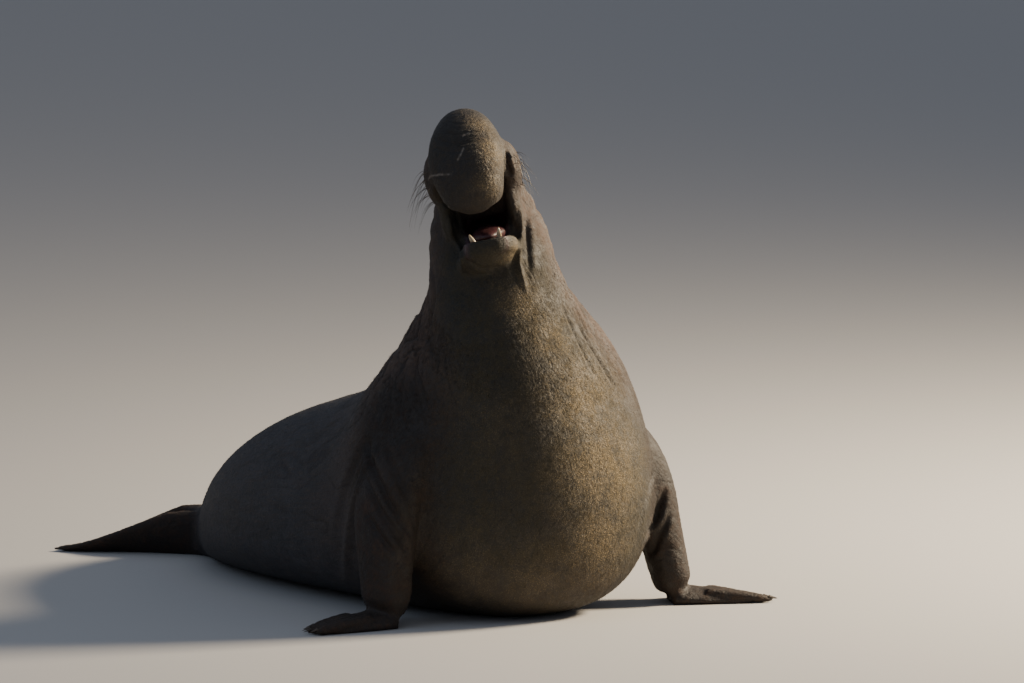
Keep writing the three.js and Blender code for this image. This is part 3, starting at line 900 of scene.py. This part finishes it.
hide = {
    "brown": (0.030, 0.020, 0.015),
    "tan": (0.066, 0.042, 0.029),
    "slate": (0.024, 0.025, 0.030),
    "slatePale": (0.056, 0.055, 0.060),
    "front": (0.012, 0.011, 0.007),
    "frontPale": (0.028, 0.024, 0.014),
    # dark hide of the arms, also used as painted shade in the armpits, in the wrinkles' grooves and round
    # the eyes
    "arm": (0.011, 0.007, 0.005),
    "armPale": (0.032, 0.018, 0.012),
    "fin": (0.014, 0.009, 0.007),
    "finPale": (0.044, 0.025, 0.017),
    "trunk": (0.013, 0.011, 0.010),
    "trunkPale": (0.034, 0.026, 0.019),
    "face": (0.022, 0.015, 0.012),
    "facePale": (0.056, 0.036, 0.026),
    "shield": (0.042, 0.026, 0.020),
    "shieldPale": (0.092, 0.059, 0.044),
    "sand": (0.36, 0.26, 0.13),
    "scar": (0.30, 0.26, 0.22),
    "gum": (0.045, 0.010, 0.013),
    "throat": (0.014, 0.004, 0.005),
    "roughness": 0.72,
}


def makeHide():
    nodes = Nodes("hide")
    place = nodes.add("ShaderNodeTexCoord").outputs["Object"]
    lie = nodes.add("ShaderNodeAttribute", attribute_name="lie").outputs["Vector"]
    large = nodes.noise(place, 2.4, 3)
    middle = nodes.noise(place, 10, 5, 0.6)
    small = nodes.noise(place, 46, 4, 0.6)
    streaks = nodes.noise(nodes.stretched(lie, (1, 1, 0.14)), 85, 3, 0.55)
    longPatches = nodes.noise(nodes.stretched(lie, (1, 1, 0.3)), 14, 4, 0.6)
    mottle = nodes.math("MULTIPLY", nodes.math("ADD", middle, small), 0.5)

    def laid(under, share, name, low=0.42, high=0.60):
        mottled = nodes.mix(nodes.spread(mottle, low, high), hide[name], hide[name + "Pale"])
        return nodes.mix(share, under, mottled)

    colour = nodes.mix(nodes.spread(large, 0.40, 0.62), hide["brown"], hide["tan"])
    colour = laid(colour, nodes.value("rear"), "slate", 0.40, 0.62)
    shield = nodes.math("MULTIPLY", nodes.value("shield"), nodes.spread(longPatches, 0.25, 0.6, 0.45, 1.0))
    colour = laid(colour, shield, "shield")
    colour = laid(colour, nodes.value("face"), "face", 0.40, 0.64)
    colour = nodes.mix(nodes.spread(streaks, 0.44, 0.72, 0, 0.35), colour, hide["tan"])
    colour = laid(colour, nodes.value("front"), "front")
    # The arm layer is partly the arms' dark hide and partly painted shade in the armpits
    for name, low, high in (("arm", 0.45, 0.68), ("fin", 0.42, 0.66), ("trunk", 0.42, 0.64)):
        colour = laid(colour, nodes.value(name), name, low, high)
    # Painted shade: the grooves of the wrinkles and the skin round the eyes are darkened towards the arms'
    # dark colour
    paintedShade = nodes.math("MAXIMUM", nodes.value("paintedCreaseShade"), nodes.value("lid"))
    colour = nodes.mix(nodes.math("MULTIPLY", paintedShade, 0.7), colour, hide["arm"])

    grains = nodes.spread(nodes.cells(place, 130), 0.40, 0.20)
    fineGrains = nodes.spread(nodes.cells(place, 260), 0.42, 0.22)
    patches = nodes.spread(nodes.noise(place, 16, 5, 0.7), 0.30, 0.60, 0.25, 1.0)
    dust = nodes.math("MULTIPLY", nodes.value("sand"), patches)
    loose = nodes.math("MAXIMUM", nodes.math("MAXIMUM", grains, fineGrains), 0.25)
    thick = nodes.math("MULTIPLY", loose, nodes.math("MULTIPLY", dust, 0.95))
    sparse = nodes.math("MULTIPLY", nodes.spread(nodes.noise(place, 19, 3, 0.6), 0.50, 0.72), 0.14)
    specks = nodes.math("MULTIPLY", nodes.value("front"), 0.10)
    thin = nodes.math("MULTIPLY", fineGrains, nodes.math("MAXIMUM", sparse, specks))
    sandy = nodes.math("MAXIMUM", thick, thin)
    colour = nodes.mix(sandy, colour, hide["sand"])
    broken = nodes.spread(nodes.noise(place, 70, 2, 0.5), 0.40, 0.55, 0.2, 0.7)
    colour = nodes.mix(nodes.math("MULTIPLY", nodes.value("scar"), broken), colour, hide["scar"])
    colour = nodes.scaled(colour, nodes.spread(nodes.value("tint"), 0, 1, 1.0, 1.7))
    mouthValue = nodes.value("mouth")
    lining = nodes.mix(nodes.spread(middle, 0.35, 0.65), hide["gum"], hide["throat"])
    colour = nodes.mix(mouthValue, colour, lining)
    nodes.link(colour, nodes.shader.inputs["Base Color"])

    dull = nodes.spread(mottle, 0.35, 0.65, hide["roughness"] - 0.12, hide["roughness"] + 0.14)
    wet = nodes.add("ShaderNodeMix", data_type="FLOAT")
    nodes.link(mouthValue, wet.inputs[0])
    nodes.link(dull, wet.inputs[2])
    wet.inputs[3].default_value = 0.34
    nodes.link(wet.outputs[0], nodes.shader.inputs["Roughness"])

    hair = nodes.noise(nodes.stretched(lie, (1, 1, 0.12)), 380, 3, 0.6)
    leather = nodes.cells(place, 70, "DISTANCE_TO_EDGE")
    bump = nodes.bump(nodes.spread(leather, 0.0, 0.20), 0.0012, strength=0.3)
    bump = nodes.bump(small, 0.0045, bump, 1.0)
    bump = nodes.bump(streaks, 0.0040, bump, 0.8)
    bump = nodes.bump(hair, 0.0016, bump, 0.8)
    bump = nodes.bump(sandy, 0.0022, bump, 0.8)
    nodes.link(bump, nodes.shader.inputs["Normal"])
    return nodes.material


hideMaterial = makeHide()
setValue(skinMesh, "tint", np.zeros(len(skinMesh.vertices)))
shadeSmooth(skinMesh)
skinMesh.materials.clear()
skinMesh.materials.append(hideMaterial)
skinPiece = newObject("skin", skinMesh)
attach(skinPiece, "root")
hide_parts(*fleshNodes)
print("seal: hide on the skin,", sum(len(face.vertices) - 2 for face in skinMesh.polygons), "triangles")

# Where each limb starts and ends, for the lie of its hair and its place on the coat's map
limbs = {
    "arm_left": [(0.45, 0.02, 0.80), (0.63, -0.17, 0.06)],
    "arm_right": [(-0.43, 0.15, 0.80), (-0.65, 0.02, 0.06)],
    "foreflipper_left": [(0.62, -0.16, 0.05), (0.95, -0.35, 0.02)],
    "foreflipper_right": [(-0.64, 0.02, 0.05), (-0.99, 0.05, 0.02)],
    "hind_flipper_left": [(0.02, 2.08, 0.11), (-0.28, 2.57, 0.03)],
    "hind_flipper_right": [(-0.08, 2.04, 0.10), (-0.47, 2.53, 0.03)],
    "tail": [(-0.02, 2.04, 0.17), (-0.074, 2.19, 0.16)],
}
trunkArch = {"forward": 0.14, "up": 0.34, "radius": 0.16}

# Short fur: thin tufts that lie back along the body, each a slim closed blade
headNodes = ["head", "lower_jaw", "proboscis"]
coat = {
    "coatRear": {"nodes": ["hindquarters", "abdomen"], "count": 42000, "length": 0.017, "wide": 0.0026},
    "coatChest": {"nodes": ["chest"], "count": 42000, "length": 0.017, "wide": 0.0026},
    "coatNeck": {"nodes": ["neck"], "count": 30000, "length": 0.018, "wide": 0.0027},
    "coatHead": {"nodes": headNodes, "count": 30000, "length": 0.008, "wide": 0.0018},
    "coatLimbs": {"nodes": list(limbs), "count": 30000, "length": 0.009, "wide": 0.0019},
}
coatMarks = [
    "fin", "arm", "trunk", "shield", "front", "rear", "face", "lid", "sand", "scar", "paintedCreaseShade", "mouth",
]
coatLift = 0.16
coatRoot = 0.0012

# The coat's map: a strip for the body, and above it a column for each limb and one for the trunk. Each
# pair is where a strip starts and how wide it is.
coatMap = {
    "bodyAlong": (0.02, 0.96),
    "bodyRound": (0.02, 0.56),
    "limbAlong": (0.02, 0.10),
    "limbStep": 0.12,
    "limbOver": 0.4,
    "limbRound": (0.62, 0.34),
    "trunkAlong": (0.87, 0.11),
    "patch": 0.003,
}


def onMap(share, angle, along, round):
    turn = angle / (2 * np.pi) + 0.5
    return np.stack([along[0] + along[1] * share, round[0] + round[1] * turn], 1)


def coatFrame(points, regions):
    # the way the hair lies at each point, and its place on the coat's map
    along, angle, _, heading = lieOf(points)
    lie = -heading
    places = onMap(along / (along.max() + 1e-6), angle, coatMap["bodyAlong"], coatMap["bodyRound"])
    over = coatMap["limbOver"]
    for index, (name, line) in enumerate(limbs.items()):
        chosen = regions == fleshNodes.index(name)
        start, end = (np.array(onBody(*place)) for place in line)
        axis = (end - start) / np.linalg.norm(end - start)
        across = unit(np.cross(axis, [0.31, 0.42, 0.85]))
        local = points[chosen] - start
        travel = local @ axis / np.linalg.norm(end - start)
        around = np.arctan2(local @ across, local @ np.cross(axis, across))
        lie[chosen] = axis
        share = (np.clip(travel, -over, 1 + over) + over) / (1 + 2 * over)
        column = (coatMap["limbAlong"][0] + coatMap["limbStep"] * index, coatMap["limbAlong"][1])
        places[chosen] = onMap(share, around, column, coatMap["limbRound"])
    chosen = regions == fleshNodes.index("proboscis")
    local = toHead(points[chosen])
    ahead = -local[:, 1] - trunkArch["forward"]
    above = local[:, 2] - trunkArch["up"]
    turn = np.arctan2(above, ahead)
    out = np.hypot(ahead, above) - trunkArch["radius"]
    tangent = np.stack([np.zeros(len(turn)), np.sin(turn), np.cos(turn)], 1)
    lie[chosen] = tangent @ np.array(headRotation).T
    around = np.arctan2(local[:, 0], out)
    share = turn / (2 * np.pi) + 0.5
    places[chosen] = onMap(share, around, coatMap["trunkAlong"], coatMap["limbRound"])
    return lie, places


def makeTufts(label, one, skinData, seed):
    rng = np.random.default_rng(seed)
    corners, points, normals, regions, marks, lies = skinData
    owners = regions[corners[:, 0]]
    chosen = np.isin(owners, [fleshNodes.index(name) for name in one["nodes"]])
    a, b, c = (points[corners[:, k]] for k in range(3))
    areas = np.linalg.norm(np.cross(b - a, c - a), axis=1) * chosen
    picks = np.searchsorted(np.cumsum(areas) / areas.sum(), rng.random(one["count"]))
    picks = np.minimum(picks, len(areas) - 1)
    shares = rng.random((one["count"], 2))
    over = shares.sum(1) > 1
    shares[over] = 1 - shares[over]
    weights = np.stack([1 - shares.sum(1), shares[:, 0], shares[:, 1]], 1)
    triangle = corners[picks]

    def spread(values):
        shaped = values.reshape(len(values), -1)
        found = sum(shaped[triangle[:, k]] * weights[:, k : k + 1] for k in range(3))
        return found.reshape(len(triangle), *values.shape[1:])

    roots = spread(points)
    up = unit(spread(normals))
    rootLies = spread(lies)
    found = {name: spread(values) for name, values in marks.items()}
    keep = (found["mouth"] < 0.15) & (roots[:, 2] > 0.008) & (eyeDistance(roots) > 0.045)
    roots, up, rootLies, picks = roots[keep], up[keep], rootLies[keep], picks[keep]
    found = {name: values[keep] for name, values in found.items()}
    count = len(roots)

    lie, places = coatFrame(roots, owners[picks])
    lie = lie + rng.normal(0, 0.16, (count, 3))
    lie = unit(lie - up * (lie * up).sum(1)[:, None])
    side = np.cross(up, lie)
    length = one["length"] * rng.uniform(0.6, 1.25, count)[:, None]
    wide = one["wide"] * rng.uniform(0.7, 1.2, count)[:, None] / 2
    lift = coatLift * rng.uniform(0.4, 1.6, count)[:, None]
    base = roots - up * coatRoot
    ridge = roots + up * wide * 0.4 + lie * length * 0.25
    corner = [base - side * wide, base + side * wide, ridge]
    tip = roots + lie * length + up * (length * lift)
    tuftPoints = np.stack([*corner, tip], 1)
    tuftPoints[:, :, 2] = np.maximum(tuftPoints[:, :, 2], 0.0005)
    faces = np.array([(0, 1, 3), (1, 2, 3), (2, 0, 3), (0, 2, 1)])
    allFaces = (np.arange(count)[:, None, None] * 4 + faces).reshape(-1, 3)

    mesh = bpy.data.meshes.new(label)
    mesh.vertices.add(count * 4)
    mesh.vertices.foreach_set("co", tuftPoints.astype(np.float32).ravel())
    mesh.loops.add(count * 12)
    mesh.loops.foreach_set("vertex_index", allFaces.astype(np.int32).ravel())
    mesh.polygons.add(count * 4)
    mesh.polygons.foreach_set("loop_start", np.arange(0, count * 12, 3, dtype=np.int32))
    mesh.update(calc_edges=True)
    spots = coatMap["patch"] * (np.array([(0, 0), (1, 0), (0.5, 0.3), (0.5, 1)]) - 0.5)
    coords = places[:, None, None, :] + spots[faces][None]
    uvMap = mesh.uv_layers.new(name="OFBake")
    uvMap.uv.foreach_set("vector", np.clip(coords, 0.001, 0.999).astype(np.float32).ravel())
    for name, values in found.items():
        setValue(mesh, name, np.repeat(values, 4))
    setValue(mesh, "tint", np.repeat(rng.uniform(0, 1, count), 4))
    setVector(mesh, "lie", np.repeat(rootLies, 4, axis=0))
    shadeSmooth(mesh)
    leaning = unit(up + rng.normal(0, 0.10, (count, 3)))
    mesh.normals_split_custom_set_from_vertices(np.repeat(leaning, 4, axis=0).astype(np.float32))
    mesh.materials.append(hideMaterial)
    piece = newObject(label, mesh)
    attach(piece, "root")
    return count


def growCoat(mesh):
    mesh.calc_loop_triangles()
    corners = listed(mesh.loop_triangles, "vertices", 3, np.int32)
    shares = np.stack([near(mesh, name) for name in fleshNodes], 1)
    lies = listed(mesh.attributes["lie"].data, "vector", 3).astype(float)
    marks = {name: getValue(mesh, name) for name in coatMarks}
    skinData = (corners, pointsOf(mesh), normalsOf(mesh), shares.argmax(1), marks, lies)
    for seed, (label, one) in enumerate(coat.items()):
        print("seal:", label, makeTufts(label, one, skinData, seed), "tufts")


growCoat(skinMesh)

# Whiskers: stiff bristles on the pads of the upper lip, and a few over each eye
whiskers = {
    "rows": 5,
    "columns": 5,
    "padForward": (0.075, 0.185),
    "padUp": (0.30, 0.43),
    "length": (0.10, 0.20),
    "radius": 0.00125,
    "browLength": 0.07,
    "bend": 9,
    "sides": 6,
}


def bristle(bm, root, out, length, droop):
    down = Vector((0, 0, -1))
    across = out.cross(down).normalized()
    rings = []
    for i in range(whiskers["bend"]):
        t = i / (whiskers["bend"] - 1)
        reach = length * (0.62 * t - 0.16 * t * t)
        sag = length * droop * (0.2 * t + 0.62 * t * t)
        middle = root + out * reach + down * sag
        radius = whiskers["radius"] * (1 - 0.8 * t)
        lift = out.cross(across).normalized()
        ring = []
        for k in range(whiskers["sides"]):
            angle = 2 * math.pi * k / whiskers["sides"]
            spot = middle + across * (math.cos(angle) * radius) + lift * (math.sin(angle) * radius)
            ring.append(bm.verts.new(spot))
        rings.append(ring)
    for lower, upper in zip(rings[:-1], rings[1:]):
        for k in range(whiskers["sides"]):
            after = (k + 1) % whiskers["sides"]
            bm.faces.new((lower[k], lower[after], upper[after], upper[k]))
    bm.faces.new(rings[0][::-1])
    bm.faces.new(rings[-1])


def makeWhiskers():
    tree = skinTree(skinMesh)
    rng = np.random.default_rng(11)
    bm = bmesh.new()
    for sign in (1, -1):
        inward = headRotation @ Vector((-sign, 0, 0))
        for row in range(whiskers["rows"]):
            for column in range(whiskers["columns"]):
                shareUp = row / (whiskers["rows"] - 1) + rng.uniform(-0.06, 0.06)
                shareForward = column / (whiskers["columns"] - 1) + rng.uniform(-0.08, 0.08)
                forward = np.interp(shareForward, (0, 1), whiskers["padForward"]) + 0.02 * shareUp
                up = np.interp(shareUp, (0, 1), whiskers["padUp"])
                start = fromHead(sign * 0.4, forward, up)
                hit = tree.ray_cast(start, inward)[0]
                if not hit:
                    continue
                out = headRotation @ Vector((sign, rng.uniform(-0.9, 0.5), rng.uniform(-0.5, 0.3)))
                length = rng.uniform(*whiskers["length"])
                bristle(bm, hit + inward * 0.004, out.normalized(), length, rng.uniform(0.25, 1.2))
        side = "left" if sign == 1 else "right"
        middle, out, ahead, up = (Vector(one) for one in eyeFrame(side))
        for k in range(6):
            spot = middle + up * 0.062 + ahead * (0.012 * (k - 2.5))
            hit = tree.ray_cast(spot + out * 0.2, -out)[0]
            if hit:
                way = (out + up * 0.8 + ahead * 0.2 * (k - 2.5)).normalized()
                bristle(bm, hit - out * 0.004, way, whiskers["browLength"] * rng.uniform(0.7, 1.2), 0.6)
    mesh = meshFrom(bm, "whiskers")
    shadeSmooth(mesh)
    return mesh


def plainMaterial(name, one):
    nodes = Nodes(name)
    place = nodes.add("ShaderNodeTexCoord").outputs["Object"]
    waves = nodes.noise(place, one["scale"], 4)
    colour = nodes.mix(nodes.spread(waves, 0.35, 0.65), one["colour"], one["second"])
    nodes.link(colour, nodes.shader.inputs["Base Color"])
    nodes.shader.inputs["Roughness"].default_value = one["roughness"]
    nodes.link(nodes.bump(waves, one["bump"]), nodes.shader.inputs["Normal"])
    return nodes.material


bristles = {
    "colour": (0.040, 0.030, 0.022),
    "second": (0.130, 0.100, 0.072),
    "roughness": 0.42,
    "scale": 9,
    "bump": 0.0002,
}
whiskerMesh = makeWhiskers()
whiskerMesh.materials.append(plainMaterial("bristle", bristles))
whiskerPiece = newObject("whiskers", whiskerMesh)
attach(whiskerPiece, "root")
print("seal: whiskers")

# Teeth, claws and tongue keep the shapes of their solids, with their facets worn away
smallPieces = {
    "tooth": {
        "nodes": ["lower_canine_left", "lower_canine_right", "upper_canine_left", "upper_canine_right"],
        "voxel": 0.0015,
        "rounds": 10,
        "look": {
            "colour": (0.50, 0.41, 0.27), "second": (0.30, 0.21, 0.11),
            "roughness": 0.34, "scale": 90, "bump": 0.0008,
        },
    },
    "claw": {
        "nodes": [f"claw_{side}_{number}" for side in ("left", "right") for number in range(1, 6)],
        "voxel": 0.0014,
        "rounds": 6,
        "look": {
            "colour": (0.035, 0.028, 0.022), "second": (0.09, 0.07, 0.05),
            "roughness": 0.38, "scale": 160, "bump": 0.0006,
        },
    },
    "mouth": {
        "nodes": ["tongue"],
        "voxel": 0.004,
        "rounds": 30,
        "look": {
            "colour": (0.072, 0.022, 0.024), "second": (0.034, 0.010, 0.013),
            "roughness": 0.42, "scale": 70, "bump": 0.0020,
        },
    },
}

for slot, one in smallPieces.items():
    material = plainMaterial(slot + "Finish", one["look"])
    for name in one["nodes"]:
        mesh = remeshed(closedCopy(name), one["voxel"])
        setPoints(mesh, softened(edgesOf(mesh), pointsOf(mesh), one["rounds"]))
        shadeSmooth(mesh)
        mesh.materials.clear()
        mesh.materials.append(material)
        piece = newObject(name + "_fine", mesh)
        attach(piece, "root")
        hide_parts(name)
print("seal: teeth, claws and tongue")


def makeEyeMaterial():
    nodes = Nodes("eye")
    facing = nodes.value("facing")
    colour = nodes.mix(nodes.spread(facing, 0.70, 0.76), eyes["white"], eyes["iris"])
    colour = nodes.mix(nodes.spread(facing, 0.90, 0.93), colour, (0.004, 0.003, 0.003))
    nodes.link(colour, nodes.shader.inputs["Base Color"])
    nodes.shader.inputs["Roughness"].default_value = 0.06
    nodes.shader.inputs["Coat Weight"].default_value = 1.0
    nodes.shader.inputs["Coat Roughness"].default_value = 0.03
    return nodes.material


# Eyes: wet dark balls with a brown iris that faces out of each socket
def makeEyes():
    material = makeEyeMaterial()
    for side in ("left", "right"):
        middle, out, _, _ = eyeFrame(side)
        bm = bmesh.new()
        bmesh.ops.create_uvsphere(bm, u_segments=48, v_segments=32, radius=eyes["radius"] - 0.0004)
        mesh = meshFrom(bm, "eye_" + side)
        points = pointsOf(mesh)
        facing = unit(points) @ out
        setValue(mesh, "facing", facing)
        points += np.outer(np.clip(facing - 0.75, 0, 1) * 0.008, out)
        setPoints(mesh, points + middle)
        shadeSmooth(mesh)
        mesh.materials.append(material)
        piece = newObject(f"eye_{side}_fine", mesh)
        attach(piece, "root")
        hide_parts("eye_" + side)


makeEyes()
print("seal: eyes")

# Floor and studio light. The turns count from the camera: a soft warm key from the right of the view and
# a little beyond the seal, a weak cool fill from the left, and a weak light from above.
studio = {
    "floor": (0.50, 0.49, 0.475),
    "world": (0.64, 0.70, 0.84),
    "worldStrength": 0.32,
    "key": {"turn": 108, "rise": 28, "size": 1.8, "power": 2500, "colour": (1, 0.83, 0.60)},
    "fill": {"turn": -60, "rise": 35, "size": 5, "power": 60, "colour": (0.50, 0.70, 1)},
    "top": {"turn": 10, "rise": 75, "size": 6, "power": 30, "colour": (0.85, 0.92, 1)},
    "away": 9,
}


def makeStudio():
    bm = bmesh.new()
    bmesh.ops.create_grid(bm, x_segments=2, y_segments=2, size=60)
    mesh = meshFrom(bm, "floor")
    nodes = Nodes("paleFloor")
    nodes.shader.inputs["Base Color"].default_value = (*studio["floor"], 1)
    nodes.shader.inputs["Roughness"].default_value = 0.9
    mesh.materials.append(nodes.material)
    newObject("floor", mesh)
    world = bpy.data.worlds.new("studio")
    world.use_nodes = True
    background = world.node_tree.nodes["Background"]
    background.inputs["Color"].default_value = (*studio["world"], 1)
    background.inputs["Strength"].default_value = studio["worldStrength"]
    bpy.context.scene.world = world
    target = onBody(-0.05, 0.3, 0.9)
    for label in ("key", "fill", "top"):
        one = studio[label]
        data = bpy.data.lights.new(label, "AREA")
        data.size = one["size"]
        data.energy = one["power"]
        data.color = one["colour"]
        lamp = bpy.data.objects.new(label, data)
        bpy.context.scene.collection.objects.link(lamp)
        away = directionOf(view["azimuth"] + one["turn"], one["rise"])
        lamp.location = target + away * studio["away"]
        lamp.rotation_euler = away.to_track_quat("Z", "Y").to_euler()


makeStudio()
print("seal: floor and lights")
